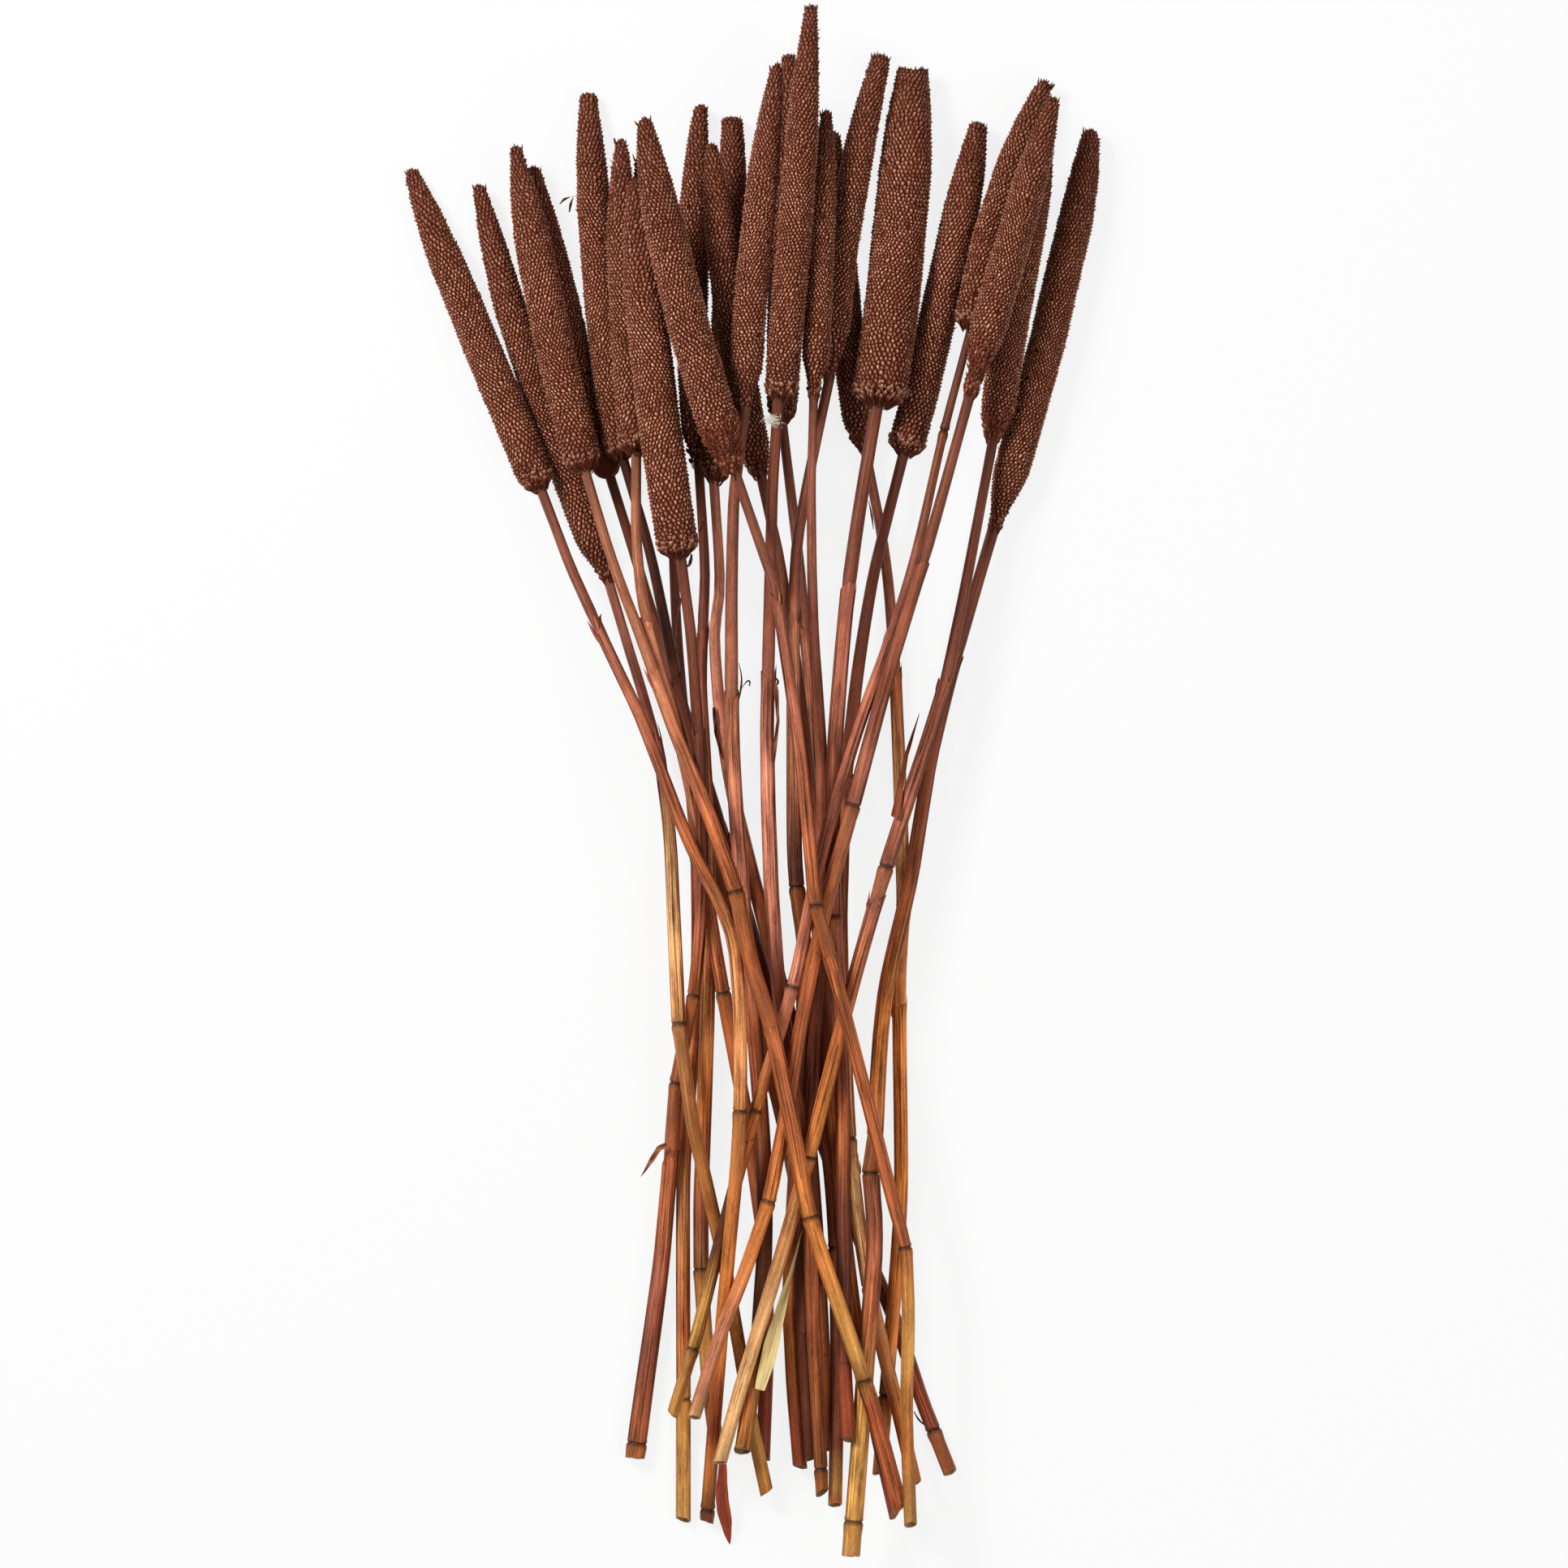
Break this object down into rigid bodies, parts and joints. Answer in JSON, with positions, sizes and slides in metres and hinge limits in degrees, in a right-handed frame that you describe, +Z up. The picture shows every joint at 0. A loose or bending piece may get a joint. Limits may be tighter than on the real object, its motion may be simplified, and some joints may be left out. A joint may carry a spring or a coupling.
{
  "type": "dried pearl millet bunch",
  "caption": "Loose bunch of dried pearl millet lying flat: rust-brown cylindrical seed heads fanned out on crossing, jointed straw stalks.",
  "frame": {"origin": "middle of the bunch's footprint, on the surface it lies on", "axes": "+Y along the stems towards the tips of the seed heads, +Z up from the surface it lies on, +X across the fan"},
  "size_m": [0.3162, 0.7006, 0.071],
  "materials": {
    "grain": "matt dry grain, rust brown",
    "straw": "dry grass stalk with a low sheen, brown to ochre",
    "leaf_cream": "dry leaf, pale cream",
    "leaf_rust": "dry leaf, rust red",
    "leaf_dark": "dry leaf, dark brown"
  },
  "bodies": {
    "root": {"seed_head_01": "grain", "seed_head_02": "grain", "seed_head_03": "grain", "seed_head_04": "grain", "seed_head_05": "grain", "seed_head_06": "grain", "seed_head_07": "grain", "seed_head_08": "grain", "seed_head_09": "grain", "seed_head_10": "grain", "seed_head_11": "grain", "seed_head_12": "grain", "seed_head_13": "grain", "seed_head_14": "grain", "seed_head_15": "grain", "seed_head_16": "grain", "seed_head_17": "grain", "seed_head_18": "grain", "seed_head_19": "grain", "seed_head_20": "grain", "seed_head_21": "grain", "seed_head_22": "grain", "seed_head_23": "grain", "seed_head_24": "grain", "stalk_01": "straw", "stalk_02": "straw", "stalk_03": "straw", "stalk_04": "straw", "stalk_05": "straw", "stalk_06": "straw", "stalk_07": "straw", "stalk_08": "straw", "stalk_09": "straw", "stalk_10": "straw", "stalk_11": "straw", "stalk_12": "straw", "stalk_13": "straw", "stalk_14": "straw", "stalk_15": "straw", "stalk_16": "straw", "stalk_17": "straw", "stalk_18": "straw", "stalk_19": "straw", "stalk_20": "straw", "stalk_21": "straw", "stalk_22": "straw", "stalk_23": "straw", "stalk_24": "straw", "leaf_blade_cream": "leaf_cream", "leaf_blade_rust": "leaf_rust", "leaf_tip_right": "leaf_rust", "sheath_strip_middle": "leaf_dark", "sheath_strip_left": "leaf_dark", "sheath_curl_left": "leaf_dark"}
  },
  "joints": []
}
